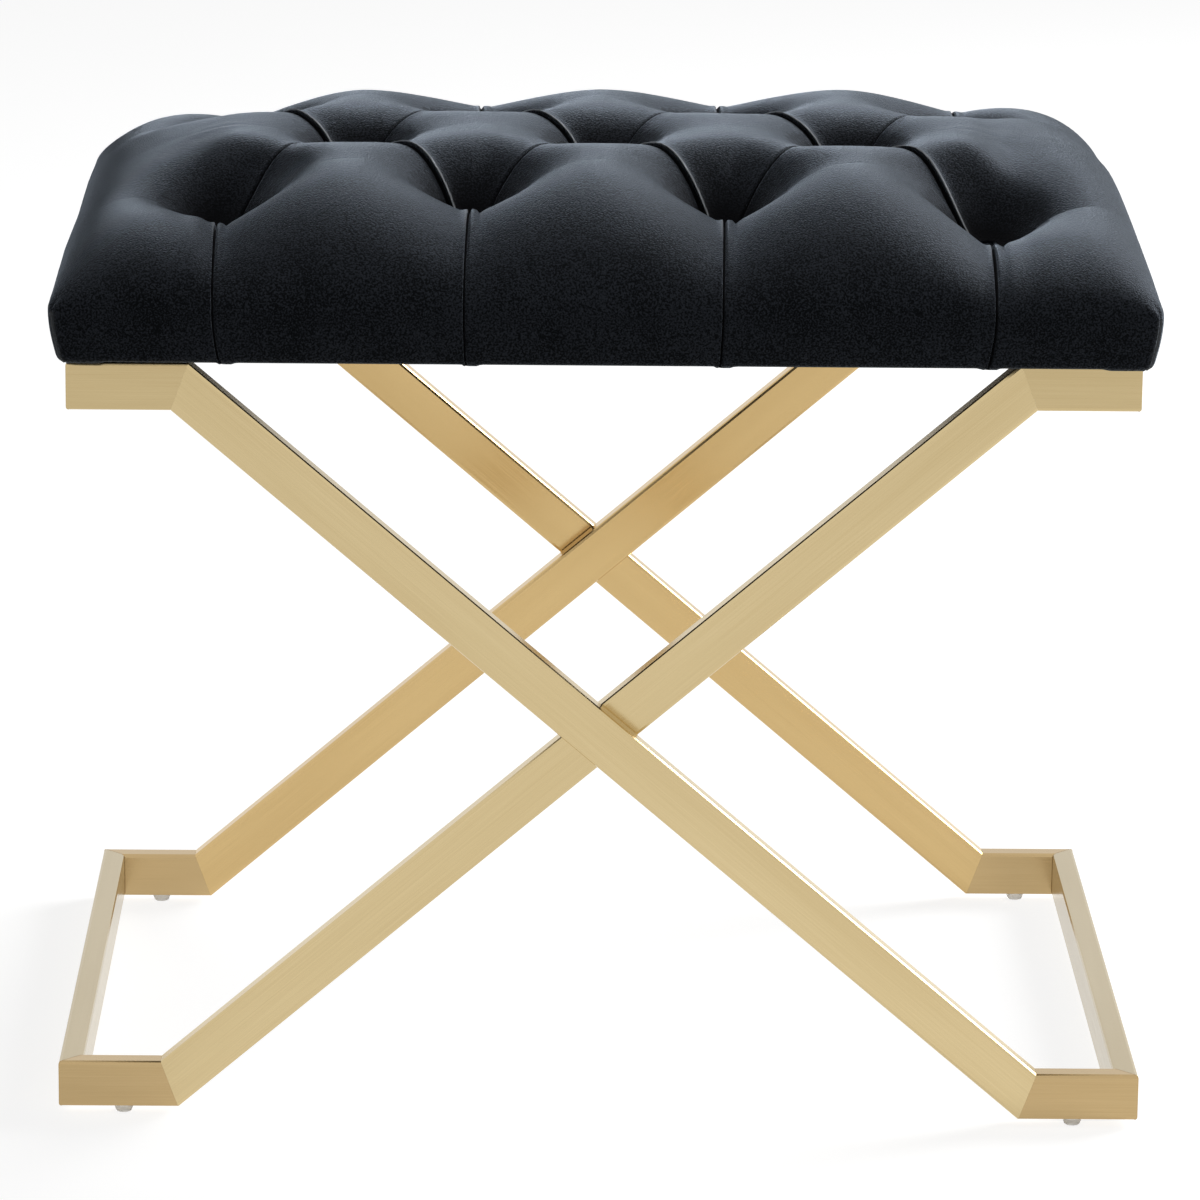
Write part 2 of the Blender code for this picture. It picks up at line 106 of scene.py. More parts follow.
# Studio light: an even white room, a wide soft box behind the bench to its right, a weak one overhead,
# and a weaker one at the floor in front. The room shows full white to the camera, in the metal and
# through the nylon, and lights matt surfaces at part strength.
ROOM_STRENGTH = 0.05
SOFT_BOX_TARGET = (0, 0, 0.46)
room = bpy.data.worlds.new("studio_room")
bpy.context.scene.world = room
room.use_nodes = True
room_nodes = room.node_tree.nodes
room_links = room.node_tree.links
room_light = room_nodes["Background"]
room_light.inputs["Color"].default_value = WHITE
room_level = room_nodes.new("ShaderNodeMapRange")
room_level.inputs["To Min"].default_value = ROOM_STRENGTH
room_level.inputs["To Max"].default_value = 1
room_links.new(seen_rays(room_nodes, room_links), room_level.inputs["Value"])
room_links.new(room_level.outputs["Result"], room_light.inputs["Strength"])


def soft_box(name, place, size, power):
    """A square soft box that faces the seat."""
    bpy.ops.object.light_add(type="AREA", location=place)
    lamp = bpy.context.object
    lamp.name = name
    lamp.data.size = size
    lamp.data.energy = power
    lamp.rotation_euler = (Vector(SOFT_BOX_TARGET) - Vector(place)).to_track_quat("-Z", "Y").to_euler()
    return lamp


soft_box("back_box", place=(2.5, 1.7, 1.5), size=1.8, power=128)
soft_box("overhead_box", place=(0.2, -0.2, 2.4), size=1.0, power=7)
soft_box("floor_bounce", place=(0, -1.3, 0.04), size=1.2, power=1.6).visible_glossy = False

# Frame: rectangular tube in pale gold, mitred, welded, ground flush and brushed along each length.
# The two loops are welded to each other where their legs cross. Each pair here is a tube's palest and
# deepest tone. The back legs, top arms and foot arms get deeper copies of the gold as painted shade, and
# the rails a greyer one as painted reflection.
FRONT_GOLD = ((0.69, 0.555, 0.315, 1), (0.57, 0.440, 0.228, 1))
TOP_GOLD_SHADED = ((0.635, 0.505, 0.280, 1), (0.525, 0.400, 0.205, 1))
BACK_GOLD_SHADED = ((0.68, 0.49, 0.232, 1), (0.56, 0.39, 0.172, 1))
FOOT_GOLD_SHADED = ((0.56, 0.410, 0.212, 1), (0.46, 0.325, 0.155, 1))
RAIL_GOLD_REFLECTING = ((0.54, 0.455, 0.295, 1), (0.46, 0.375, 0.225, 1))
GRAIN_FINE = (0.060, 0.00040, 0.00040)  # length and width of one scratch
GRAIN_BROAD = (0.220, 0.0200, 0.0200)  # and of the cloudy tone under the scratches
GRAIN_FINE_DETAIL = 2
GRAIN_BROAD_DETAIL = 3
GRAIN_SHARE = 0.5  # how much of the tone each of the two gives
GOLD_TONE_SPAN = (0.25, 0.75)  # grain that shows the deepest and the palest tone
SCRATCH_SPAN = (0.3, 0.7)  # grain that is smoothest and roughest
GOLD_ROUGHNESS = (0.17, 0.25)
SCRATCH_DEPTH = 0.00005
SCRATCH_STRENGTH = 0.10


def grain(nodes, links, coords, turn, size, detail):
    """Noise drawn out along a tube that is turned in the plane of its loop, or about the upright."""
    lay = nodes.new("ShaderNodeMapping")
    lay.vector_type = "TEXTURE"
    lay.inputs["Rotation"].default_value = turn
    lay.inputs["Scale"].default_value = size
    links.new(coords.outputs["Object"], lay.inputs["Vector"])
    noise = nodes.new("ShaderNodeTexNoise")
    noise.inputs["Scale"].default_value = 1
    noise.inputs["Detail"].default_value = detail
    links.new(lay.outputs["Vector"], noise.inputs["Vector"])
    return noise.outputs["Fac"]


def two_toned(nodes, links, pattern, pale, deep, span):
    """The colour of a pattern that runs from a deep tone to a pale one."""
    tint = nodes.new("ShaderNodeValToRGB")
    for stop, place, tone in zip(tint.color_ramp.elements, span, (deep, pale)):
        stop.position = place
        stop.color = tone
    links.new(pattern, tint.inputs["Fac"])
    return tint.outputs["Color"]


def raise_grain(nodes, links, shader, pattern, height, strength=1):
    """Lets a pattern stand up from the surface."""
    bump = nodes.new("ShaderNodeBump")
    bump.inputs["Strength"].default_value = strength
    bump.inputs["Distance"].default_value = height
    links.new(pattern, bump.inputs["Height"])
    links.new(bump.outputs["Normal"], shader.inputs["Normal"])


def brushed_gold(name, turn, tones):
    """Brushed gold with its scratches along one direction."""
    finish, nodes, links, shader = new_material(name)
    shader.inputs["Metallic"].default_value = 1
    coords = nodes.new("ShaderNodeTexCoord")
    fine = grain(nodes, links, coords, turn, GRAIN_FINE, GRAIN_FINE_DETAIL)
    broad = grain(nodes, links, coords, turn, GRAIN_BROAD, GRAIN_BROAD_DETAIL)
    half_broad = nodes.new("ShaderNodeMath")
    half_broad.operation = "MULTIPLY"
    half_broad.inputs[1].default_value = GRAIN_SHARE
    links.new(broad, half_broad.inputs[0])
    both = nodes.new("ShaderNodeMath")
    both.operation = "MULTIPLY_ADD"
    both.inputs[1].default_value = GRAIN_SHARE
    links.new(fine, both.inputs[0])
    links.new(half_broad.outputs[0], both.inputs[2])
    tone = two_toned(nodes, links, both.outputs[0], *tones, GOLD_TONE_SPAN)
    links.new(tone, shader.inputs["Base Color"])
    rough = nodes.new("ShaderNodeMapRange")
    rough.inputs["From Min"].default_value, rough.inputs["From Max"].default_value = SCRATCH_SPAN
    rough.inputs["To Min"].default_value, rough.inputs["To Max"].default_value = GOLD_ROUGHNESS
    links.new(fine, rough.inputs["Value"])
    links.new(rough.outputs["Result"], shader.inputs["Roughness"])
    raise_grain(nodes, links, shader, fine, SCRATCH_DEPTH, SCRATCH_STRENGTH)
    return finish


LEG_SLOPE = math.radians(40.5)
# Deeper gold on the back legs, top arms and foot arms is painted shade; the greyer gold on the rails is
# painted reflection.
gold_of = {
    "outer_front_leg": brushed_gold("brushed_gold_falling", (0, LEG_SLOPE, 0), FRONT_GOLD),
    "inner_front_leg": brushed_gold("brushed_gold_rising", (0, -LEG_SLOPE, 0), FRONT_GOLD),
    "outer_back_leg": brushed_gold("brushed_gold_falling_back_shaded", (0, LEG_SLOPE, 0), BACK_GOLD_SHADED),
    "inner_back_leg": brushed_gold("brushed_gold_rising_back_shaded", (0, -LEG_SLOPE, 0), BACK_GOLD_SHADED),
    "top_arm": brushed_gold("brushed_gold_top_arm_shaded", (0, 0, 0), TOP_GOLD_SHADED),
    "foot_arm": brushed_gold("brushed_gold_foot_arm_shaded", (0, 0, 0), FOOT_GOLD_SHADED),
    "rail": brushed_gold("brushed_gold_rail_reflecting", (0, 0, math.pi / 2), RAIL_GOLD_REFLECTING),
}
for name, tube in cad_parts.items():
    for ending, gold in gold_of.items():
        if name.endswith(ending):
            tube.data.materials.clear()
            tube.data.materials.append(gold)

# Welds: a bead of the same gold-plated steel fills each mitre, run round the joint and ground flush.
# It is all that joins one tube to the next.
TUBE_FACE = 0.0254
TUBE_DEPTH = 0.0130
TUBE_CORNER = 0.0018
MITRE_GAP = 0.0003
WELD_THICKNESS = 0.00028
WELD_SUNK = 0.0001  # ground this far under the tube's faces
ROUNDING_STEPS = 4


def pick_edges(piece, wanted):
    """Selects the edges between two points that pass a test, in edit mode."""
    bpy.ops.object.mode_set(mode="EDIT")
    bpy.ops.mesh.select_mode(type="EDGE")
    bpy.ops.mesh.select_all(action="DESELECT")
    bpy.ops.object.mode_set(mode="OBJECT")
    points = piece.data.vertices
    for edge in piece.data.edges:
        edge.select = wanted(*(points[corner].co for corner in edge.vertices))
    bpy.ops.object.mode_set(mode="EDIT")


def add_weld(name, middle, turn, width, gold):
    """A thin plate across a mitre, as wide as the cut and with the tube's rounded corners."""
    bpy.ops.object.select_all(action="DESELECT")
    height = TUBE_FACE / math.cos(turn[1]) - 2 * WELD_SUNK
    size = (WELD_THICKNESS, width - 2 * WELD_SUNK, height)
    bpy.ops.mesh.primitive_cube_add(size=1, location=middle, rotation=turn, scale=size)
    weld = bpy.context.object
    weld.name = name
    bpy.ops.object.transform_apply(location=False, rotation=False, scale=True)
    pick_edges(weld, lambda first, last: abs(first.x - last.x) > WELD_THICKNESS / 2)
    bpy.ops.mesh.bevel(offset=TUBE_CORNER, segments=ROUNDING_STEPS, affect="EDGES")
    bpy.ops.object.mode_set(mode="OBJECT")
    bpy.ops.object.transform_apply(location=True, rotation=True, scale=False)
    weld.data.materials.append(gold)
    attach(weld, "root")


half_turn = LEG_SLOPE / 2
cap_reach = TUBE_FACE / 2 * math.tan(half_turn) - MITRE_GAP / 2 / math.cos(half_turn)
for loop, top_side in (("outer", -1), ("inner", 1)):
    for face, facing in (("front", -1), ("back", 1)):
        for end, side in (("top", top_side), ("foot", -top_side)):
            arm_low, arm_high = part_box(f"{loop}_{face}_{end}_arm")
            rail_low, rail_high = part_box(f"{loop}_{end}_rail")
            place = (arm_low + arm_high) / 2
            place.x = (arm_high.x if side < 0 else arm_low.x) + side * cap_reach
            joint = f"weld_{loop}_{face}_{end}"
            leg_turn = (0, -top_side * half_turn, 0)
            add_weld(f"{joint}_leg", place, leg_turn, TUBE_DEPTH, gold_of[f"{loop}_{face}_leg"])
            place.x = (rail_low.x + rail_high.x) / 2
            corner_turn = (0, 0, math.atan2(-side, facing))
            add_weld(f"{joint}_rail", place, corner_turn, TUBE_DEPTH * math.sqrt(2), gold_of[f"{end}_arm"])

# Glides: small feet of translucent off-white nylon, each moulded in one with a stem.
# The stem is pushed into a hole in the foot arm, and the foot's rim is rounded so that it slides.
GLIDE_FOOT_RADIUS = 0.0040
GLIDE_TOP_RADIUS = 0.00535
GLIDE_HEIGHT = 0.0037
GLIDE_STEM_RADIUS = 0.0030
GLIDE_STEM = 0.0063
GLIDE_ROUNDING = 0.0006
GLIDE_TOP_RISE = GLIDE_ROUNDING / 4  # of the top inside its rim
GLIDE_SIDES = 32
SMALL_ROUNDING_STEPS = 2
LEVEL = 0.9  # least upright share of the normal of a face that lies level
SMOOTH_ANGLE = math.radians(40)  # sharper edges than this stay sharp
NYLON_PALE = (0.62, 0.59, 0.53, 1)
NYLON_DULL = (0.56, 0.52, 0.46, 1)
NYLON_TRANSMISSION = 0.85
NYLON_IOR = 1.25
MOTTLE_DETAIL = 3
MOTTLE_SPAN = (0.35, 0.65)


def pick_faces(piece, wanted):
    """Selects the faces that pass a test, in edit mode."""
    bpy.ops.object.mode_set(mode="EDIT")
    bpy.ops.mesh.select_mode(type="FACE")
    bpy.ops.mesh.select_all(action="DESELECT")
    bpy.ops.object.mode_set(mode="OBJECT")
    for face in piece.data.polygons:
        face.select = wanted(face)
    bpy.ops.object.mode_set(mode="EDIT")


def extrude(shift):
    """Draws the selected faces out."""
    bpy.ops.mesh.extrude_region_move(TRANSFORM_OT_translate={"value": shift})


def mottled(name, pale, dull, per_metre, roughness, bump_height):
    """A material whose colour and surface vary a little, for moulded, turned or felted goods."""
    material, nodes, links, shader = new_material(name)
    shader.inputs["Roughness"].default_value = roughness
    coords = nodes.new("ShaderNodeTexCoord")
    speckle = nodes.new("ShaderNodeTexNoise")
    speckle.inputs["Scale"].default_value = per_metre
    speckle.inputs["Detail"].default_value = MOTTLE_DETAIL
    links.new(coords.outputs["Object"], speckle.inputs["Vector"])
    tone = two_toned(nodes, links, speckle.outputs["Fac"], pale, dull, MOTTLE_SPAN)
    links.new(tone, shader.inputs["Base Color"])
    raise_grain(nodes, links, shader, speckle.outputs["Fac"], bump_height)
    return material


nylon = mottled("nylon", NYLON_PALE, NYLON_DULL, per_metre=600, roughness=0.45, bump_height=0.00002)
nylon_shader = nylon.node_tree.nodes["Principled BSDF"]
nylon_shader.inputs["Transmission Weight"].default_value = NYLON_TRANSMISSION
nylon_shader.inputs["IOR"].default_value = NYLON_IOR
bpy.ops.object.select_all(action="DESELECT")
bpy.ops.mesh.primitive_cylinder_add(
    vertices=GLIDE_SIDES, radius=GLIDE_TOP_RADIUS, depth=GLIDE_HEIGHT, location=(0, 0, GLIDE_HEIGHT / 2)
)
glide = bpy.context.object
bpy.ops.object.transform_apply(location=True, rotation=False, scale=False)
pick_faces(glide, lambda face: face.normal.z < -LEVEL)
taper = GLIDE_FOOT_RADIUS / GLIDE_TOP_RADIUS
bpy.ops.transform.resize(value=(taper, taper, 1), center_override=(0, 0, 0))
bpy.ops.mesh.bevel(offset=GLIDE_ROUNDING, segments=ROUNDING_STEPS, affect="EDGES")
pick_faces(glide, lambda face: face.normal.z > LEVEL)
bpy.ops.mesh.inset(thickness=GLIDE_ROUNDING)
bpy.ops.transform.translate(value=(0, 0, GLIDE_TOP_RISE))
bpy.ops.mesh.inset(thickness=GLIDE_TOP_RADIUS - GLIDE_ROUNDING - GLIDE_STEM_RADIUS)
extrude((0, 0, GLIDE_STEM - GLIDE_TOP_RISE))
bpy.ops.mesh.bevel(offset=GLIDE_ROUNDING / 2, segments=SMALL_ROUNDING_STEPS, affect="EDGES")
bpy.ops.object.mode_set(mode="OBJECT")
bpy.ops.object.shade_smooth_by_angle(angle=SMOOTH_ANGLE)
glide.data.materials.append(nylon)
for node in [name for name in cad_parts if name.endswith("glide")]:
    low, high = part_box(node)
    foot = glide.copy()
    foot.data = glide.data.copy()
    foot.name = f"nylon_{node}"
    bpy.context.collection.objects.link(foot)
    foot.data.transform(Matrix.Translation(((low.x + high.x) / 2, (low.y + high.y) / 2, low.z)))
    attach(foot, "root")
    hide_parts(node)
bpy.data.objects.remove(glide)

# Seat board: unfinished birch plywood, bored for the tuft twine and the screws.
# The grain of its face runs along the seat.
BIRCH_PALE = (0.60, 0.45, 0.28, 1)
BIRCH_DARK = (0.45, 0.31, 0.17, 1)
BIRCH_GRAIN = (0.120, 0.0035, 0.0035)
BIRCH_DETAIL = 4
BIRCH_SPAN = (0.3, 0.7)
BIRCH_ROUGHNESS = 0.7
BIRCH_RELIEF = 0.0001
birch, birch_nodes, birch_links, birch_shader = new_material("birch_plywood")
birch_shader.inputs["Roughness"].default_value = BIRCH_ROUGHNESS
birch_coords = birch_nodes.new("ShaderNodeTexCoord")
birch_grain = grain(birch_nodes, birch_links, birch_coords, (0, 0, 0), BIRCH_GRAIN, BIRCH_DETAIL)
birch_tone = two_toned(birch_nodes, birch_links, birch_grain, BIRCH_PALE, BIRCH_DARK, BIRCH_SPAN)
birch_links.new(birch_tone, birch_shader.inputs["Base Color"])
raise_grain(birch_nodes, birch_links, birch_shader, birch_grain, BIRCH_RELIEF)
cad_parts["seat_board"].data.materials.clear()
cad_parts["seat_board"].data.materials.append(birch)

# Seat cover: black velvet over foam, tied down in tufts, folded into pleats between them and down the
# sides, and turned under the board. It is laid out as panels between the pleats, blown up like the
# stuffed seat, and then the slack along each pleat is folded over.
cover_low, cover_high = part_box("velvet_cover")
full_width = cover_high.x
full_depth = cover_high.y
seat_bottom = cover_low.z


def tuft_place(name):
    """Where a tuft's tie stands, in plan."""
    low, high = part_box(name)
    return np.array(((low.x + high.x) / 2, (low.y + high.y) / 2))


tuft_names = sorted(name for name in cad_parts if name.startswith("tuft_tie"))
tufts = {name.removeprefix("tuft_tie_"): tuft_place(name) for name in tuft_names}
row_step = tufts["back_1"][1]
half_step = tufts["front_3"][0]

EDGE_LEVEL = 0.4444  # fullest line of the sides
FRONT_CORNER = 0.0090  # radius of the upright corners
BACK_CORNER = (0.0380, 0.0240)  # and at the back, at the fullest line and at the board
BOARD_SHARE = 0.5  # how far down from the fullest line the board's top lies
SEAT_BULGE = 0.0045  # swell of the sides past the bottom edge
HEM = 0.0380  # velvet turned under the board
CROWN = 0.0590  # fullest line to the top near the edges
DOME = 0.0020  # further rise at the middle
# Widths of the rounding from side to top, at either end for the front, middle and back tufts, and then
# at the front and back
LEFT_SHOULDER = (0.0600, 0.0920, 0.1140)
RIGHT_SHOULDER = (0.0340, 0.0400, 0.0950)
END_SQUARENESS = (1.8, 2.0)  # left and right; 2 is a quarter round
FRONT_SHOULDER = 0.1200
FRONT_CORNER_SHOULDER = 0.0700
FRONT_CORNER_SQUARENESS = 2.4
CORNER_SINK = (0.0260, 0.0360)  # fall of the left and right front corners on the way to the front edge
CORNER_SINK_FROM = 0.0600  # where that fall begins, behind the middle
CORNER_SINK_CURVE = 1.05  # 1 is an even fall
CORNER_EASE = 0.0150
BACK_SHOULDER = (0.1500, 0.1220)  # at the left and right end tufts
PIT_DEPTH = 0.0480
PIT_REACH = 0.0145
VALLEY_BLEND = 3  # how sharply one valley gives way to the next
VALLEY_ROUNDING = 1.6  # 1 is a straight-sided valley
PLEAT_FLAT_OVER = 0.35  # how much of a pleat's flat bottom lies on its upper side
BUTTON_SEAT = 0.0060  # flat at the bottom of a pit, under the button
PANEL_CELLS = (24,) * 7  # weave lines from pleat to pleat, along the seat
STRIP_CELLS = (28, 20, 20, 28)  # from tuft row to tuft row, across it
SIDE_CELLS = 8
HEM_CELLS = 3
CROWDING = 0.90  # how much closer the weave lines lie at a pleat
WELD_DISTANCE = 0.00001  # points closer than this are sewn into one

# Each kind of pleat: depth along its run, further depth near a tuft and its reach, width of the valley on
# either side and of the flat in it, whether the fold rolls over and how high it stands, how strong a
# highlight is painted on its lip, and whether it runs to the front or back edge, or across to an end
FALLING_PLEAT = {
    "depth": 0.0015, "near": 0.0110, "reach": 0.0200, "valley": 0.0250, "flat": 0.0,
    "rolled": True, "fold": 1.2, "lip": 1.0, "to_edge": False, "across": False,
}
RISING_PLEAT = {**FALLING_PLEAT, "rolled": False, "fold": 0.6, "lip": 0.0}
FRONT_SIDE_PLEAT = {
    "depth": 0.0005, "near": 0.0190, "reach": 0.0280, "valley": 0.0600, "flat": 0.0,
    "rolled": False, "fold": 0.0, "lip": 0.0, "to_edge": False, "across": True,
}
BACK_SIDE_PLEAT = {**FRONT_SIDE_PLEAT, "near": 0.0080, "reach": 0.0250, "valley": 0.0450}
FRONT_EDGE_PLEAT = {
    "depth": 0.0175, "near": 0.0080, "reach": 0.0300, "valley": 0.0580, "flat": 0.0065,
    "rolled": False, "fold": 1.0, "lip": 0.55, "to_edge": True, "across": False,
}
BACK_EDGE_PLEAT = {**FRONT_EDGE_PLEAT, "fold": 0.5}
EDGE_PLEAT_EXTRA = {  # how much deeper each one is
    "front_1": 0.0040, "front_2": -0.0020, "front_3": 0.0035, "front_4": 0.0140,
    "back_1": -0.0010, "back_2": -0.0090, "back_3": -0.0090, "back_4": -0.0060,
}
# How far the front tufts, and the ends of their pleats, stray to the right of an even spacing
FRONT_TUFT_STRAY = (-0.0046, -0.0044, -0.0038, 0.0028)
FRONT_END_STRAY = (-0.0024, -0.0072, -0.0076, -0.0008)


def crowded(cells):
    """Even steps from 0 to 1, drawn closer together at both ends."""
    step = np.arange(cells + 1) / cells
    return step - CROWDING * np.sin(2 * np.pi * step) / (2 * np.pi)


def pleat_lines(along):
    """Where the pleats cross the seat at a distance from its middle, from end to end."""
    spread = np.clip(1 - np.abs(along) / row_step, 0, 1) * half_step
    wide = np.full_like(spread, full_width)
    left_half = (-wide, spread - 3 * half_step, -half_step - spread, spread - half_step)
    return np.stack(left_half + tuple(-line for line in reversed(left_half)))


strip_lines = (-full_depth, -row_step, 0, row_step, full_depth)
column_panel = np.repeat(np.arange(len(PANEL_CELLS)), PANEL_CELLS)
column_panel = np.append(column_panel, column_panel[-1])
column_share = np.append(np.concatenate([crowded(cells)[:-1] for cells in PANEL_CELLS]), 1)
row_place = [
    first + crowded(cells)[:-1] * (last - first)
    for first, last, cells in zip(strip_lines, strip_lines[1:], STRIP_CELLS)
]
row_place = np.append(np.concatenate(row_place), full_depth)
columns = len(column_panel) - 1
rows = len(row_place) - 1
margin = SIDE_CELLS + HEM_CELLS
bpy.ops.object.select_all(action="DESELECT")
all_columns = columns + 2 * margin
all_rows = rows + 2 * margin
bpy.ops.mesh.primitive_grid_add(x_subdivisions=all_columns, y_subdivisions=all_rows, size=2)
cover = bpy.context.object
cover.name = "seat_cover"


def points_of(piece):
    """A piece's points as an array."""
    points = np.zeros(3 * len(piece.data.vertices))
    piece.data.vertices.foreach_get("co", points)
    return points.reshape(-1, 3)


def normals_of(piece):
    """A piece's point normals as an array."""
    normals = np.zeros(3 * len(piece.data.vertices))
    piece.data.vertices.foreach_get("normal", normals)
    return normals.reshape(-1, 3)


def move_points(piece, points):
    """Puts a piece's points at these places."""
    piece.data.vertices.foreach_set("co", points.ravel())
    piece.data.update()


grid = points_of(cover)
column = np.rint((grid[:, 0] + 1) / 2 * all_columns).astype(int) - margin
row = np.rint((grid[:, 1] + 1) / 2 * all_rows).astype(int) - margin
on_column = np.clip(column, 0, columns)
on_row = np.clip(row, 0, rows)
past_side = np.abs(column - on_column)
past_front = np.abs(row - on_row)
turned_down = np.maximum(past_side, past_front)
plan_y = row_place[on_row]
lines = pleat_lines(plan_y)
panel = column_panel[on_column]
every = np.arange(len(grid))
panel_start = lines[panel, every]
plan_x = panel_start + column_share[on_column] * (lines[panel + 1, every] - panel_start)
plan = np.stack((plan_x, plan_y), axis=1)

# A pleat runs from a tuft to the next tuft or to the seat's edge, and over is the side whose velvet
# lies on top
pleats = []
for side, facing, edge_pleat, side_pleat in (
    ("front", -1, FRONT_EDGE_PLEAT, FRONT_SIDE_PLEAT),
    ("back", 1, BACK_EDGE_PLEAT, BACK_SIDE_PLEAT),
):
    for number in (1, 2, 3, 4):
        tuft = tufts[f"{side}_{number}"]
        depth = edge_pleat["depth"] + EDGE_PLEAT_EXTRA[f"{side}_{number}"]
        end = np.array((tuft[0], facing * full_depth))
        pleats.append({**edge_pleat, "depth": depth, "start": tuft, "end": end, "over": (-1, 0)})
        for middle in (number - 1, number):
            if f"middle_{middle}" in tufts:
                end = tufts[f"middle_{middle}"]
                falls = (end[0] - tuft[0]) * facing > 0
                kind = FALLING_PLEAT if falls else RISING_PLEAT
                over = (1, 1) if falls else (facing, -facing)
                pleats.append({**kind, "start": tuft, "end": end, "over": over})
    for number, end_side in ((1, -1), (4, 1)):
        tuft = tufts[f"{side}_{number}"]
        end = np.array((end_side * full_width, tuft[1]))
        pleats.append({**side_pleat, "start": tuft, "end": end, "over": (0, facing)})


def beside(pleat, points):
    """How far points in plan lie along a pleat, off it towards its upper side, and from its nearest tuft.

    With these come the pleat's length and the way towards its upper side.
    """
    reach = pleat["end"] - pleat["start"]
    length = np.linalg.norm(reach)
    along = (points - pleat["start"]) @ reach / length
    across = np.array((-reach[1], reach[0])) / length
    across = across * np.sign(across @ np.array(pleat["over"]))
    off = (points - pleat["start"]) @ across
    joins_tufts = abs(pleat["end"][1]) < row_step / 2
    to_tuft = np.minimum(along, length - along) if joins_tufts else along
    return along, off, to_tuft, length, across


def shoulder(inside, width, squareness=2):
    """The rise from the seat's edge: a quarter round, or a squarer one."""
    return (1 - np.clip(1 - inside / width, 0, 1) ** squareness) ** (1 / squareness)


def seat_height(points):
    """Height of the top, drawn down at tufts and pleats, distance to a pleat, and share of a pit."""
    across = np.abs(points[:, 0])
    along = np.abs(points[:, 1])
    tuft_rows = (-row_step, 0, row_step)
    left = np.interp(points[:, 1], tuft_rows, LEFT_SHOULDER)
    right = np.interp(points[:, 1], tuft_rows, RIGHT_SHOULDER)
    end_shoulder = np.where(points[:, 0] < 0, left, right)
    in_corner = np.clip((across - 3 * half_step) / CORNER_EASE, 0, 1)
    from_front = full_depth - along
    corner_rise = shoulder(from_front, FRONT_CORNER_SHOULDER, FRONT_CORNER_SQUARENESS)
    front_rise = (1 - in_corner) * shoulder(from_front, FRONT_SHOULDER) + in_corner * corner_rise
    back_shoulder = np.interp(points[:, 0], (-3 * half_step, 3 * half_step), BACK_SHOULDER)
    long_rise = np.where(points[:, 1] < 0, front_rise, shoulder(from_front, back_shoulder))
    end_squareness = np.where(points[:, 0] < 0, *END_SQUARENESS)
    rise = shoulder(full_width - across, end_shoulder, end_squareness) * long_rise
    dome = DOME * (1 - (across / full_width) ** 2) * (1 - (along / full_depth) ** 2)
    from_tuft = np.min([np.linalg.norm(points - tuft, axis=1) for tuft in tufts.values()], axis=0)
    pit = np.exp(-np.maximum(from_tuft - BUTTON_SEAT, 0) / PIT_REACH)
    valley = np.zeros(len(points))
    side_dip = np.zeros(len(points))
    nearest = np.full(len(points), np.inf)
    for pleat in pleats:
        run, off, to_tuft, length, _ = beside(pleat, points)
        away = np.hypot(off, run - np.clip(run, 0, length))
        depth = pleat["depth"] + pleat["near"] * np.exp(-np.maximum(to_tuft, 0) / pleat["reach"])
        flat = pleat["flat"] * np.where(off < 0, 1, PLEAT_FLAT_OVER)
        slope = np.clip(1 - np.maximum(away - flat, 0) / pleat["valley"], 0, 1) ** VALLEY_ROUNDING
        if pleat["across"]:
            side_dip += depth * slope
        else:
            valley += (depth * slope) ** VALLEY_BLEND
        nearest = np.minimum(nearest, away)
    to_front = np.clip((CORNER_SINK_FROM - points[:, 1]) / (CORNER_SINK_FROM + full_depth), 0, 1)
    corner_sink = np.where(points[:, 0] < 0, *CORNER_SINK) * to_front**CORNER_SINK_CURVE
    valley += (corner_sink * in_corner) ** VALLEY_BLEND
    sunk = valley ** (1 / VALLEY_BLEND) + side_dip
    dip = PIT_DEPTH * pit + sunk * (1 - pit)
    return EDGE_LEVEL + rise * (CROWN + dome - dip), nearest, pit


def round_corners(points, down):
    """The seat's square plan with its upright corners rounded, less so further down at the back."""
    back_radius = np.interp(down, (0, BOARD_SHARE), BACK_CORNER)
    radius = np.where(points[:, 1] < 0, FRONT_CORNER, back_radius)
    centre = np.array((full_width, full_depth)) - radius[:, None]
    past = np.maximum(np.abs(points) - centre, 0)
    size = np.maximum(np.linalg.norm(past, axis=1), WELD_DISTANCE)
    eased = past * (past.max(axis=1) / size)[:, None]
    return np.sign(points) * (np.minimum(np.abs(points), centre) + eased)


def stray_of(points):
    """How far the velvet at points in plan lies to the right of an even spacing."""
    tuft_columns = (-full_width, -3 * half_step, -half_step, half_step, 3 * half_step, full_width)
    tuft_stray = np.interp(points[:, 0], tuft_columns, (0, *FRONT_TUFT_STRAY, 0))
    end_stray = np.interp(points[:, 0], tuft_columns, (0, *FRONT_END_STRAY, 0))
    before_middle = np.clip(-points[:, 1] / row_step, 0, 1)
    before_tufts = np.clip((-points[:, 1] - row_step) / (full_depth - row_step), 0, 1)
    return before_middle * tuft_stray + before_tufts * (end_stray - tuft_stray)


height, to_pleat, _ = seat_height(plan)
down_share = np.clip(turned_down / SIDE_CELLS, 0, 1)
rounded = round_corners(plan, down_share)
under_share = np.clip((turned_down - SIDE_CELLS) / HEM_CELLS, 0, 1)
inset = SEAT_BULGE * (1 - np.cos(np.pi / 2 * down_share)) + HEM * under_share
place = np.zeros_like(grid)
place[:, :2] = rounded * (1 - inset[:, None] / np.array((full_width, full_depth)))
place[:, 2] = np.where(turned_down > 0, EDGE_LEVEL + down_share * (seat_bottom - EDGE_LEVEL), height)
place[:, 0] += stray_of(plan)
move_points(cover, place)
layout = cover.data.attributes.new("layout", "FLOAT_VECTOR", "POINT")
layout.data.foreach_set("vector", np.column_stack((plan, turned_down)).ravel())
hem_points = turned_down >= SIDE_CELLS
pleat_points = (to_pleat < WELD_DISTANCE) & ~hem_points
stitched = cover.vertex_groups.new(name="stitched")
stitched.add(np.flatnonzero(pleat_points | hem_points).tolist(), 1, "ADD")

